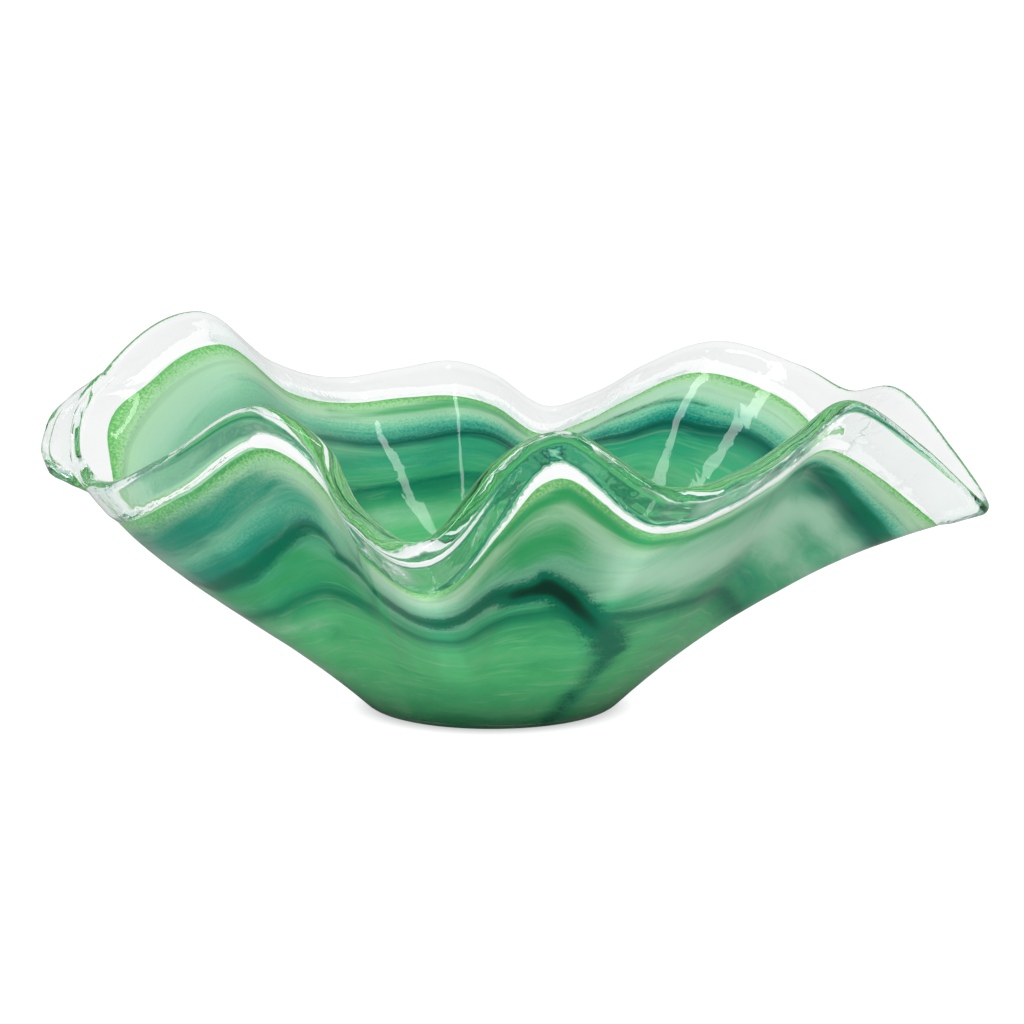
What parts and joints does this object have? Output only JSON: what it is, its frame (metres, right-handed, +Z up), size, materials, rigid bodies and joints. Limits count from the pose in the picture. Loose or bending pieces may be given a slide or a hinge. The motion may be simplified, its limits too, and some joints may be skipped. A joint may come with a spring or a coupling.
{
  "type": "art glass bowl",
  "caption": "Ruffled, free-form centrepiece bowl of cased glass: green and teal colour between clear layers, a wide clear rim with a rounded lip, and a small flat ground foot.",
  "frame": {"origin": "middle of the ground flat face under the foot, which the bowl stands on", "axes": "+Z up out of the bowl's mouth, +X along its longest way across, towards its widest lip, +Y towards its highest side"},
  "size_m": [0.3924, 0.3307, 0.1579],
  "materials": {
    "clear_glass": "clear, fire polished",
    "lime_glass": "translucent lime green, cased",
    "mint_glass": "translucent pale mint, cased",
    "teal_glass": "dark teal, granular, cased",
    "jade_glass": "translucent jade, cased",
    "green_glass": "emerald green with soft swirls, cased"
  },
  "bodies": {
    "root": {"punty_pad": "clear_glass", "outer_casing": "clear_glass", "inner_gather": "clear_glass", "clear_rim": "clear_glass", "lime_band": "lime_glass", "mint_band": "mint_glass", "teal_band": "teal_glass", "jade_band": "jade_glass", "green_cup": "green_glass"}
  },
  "joints": []
}
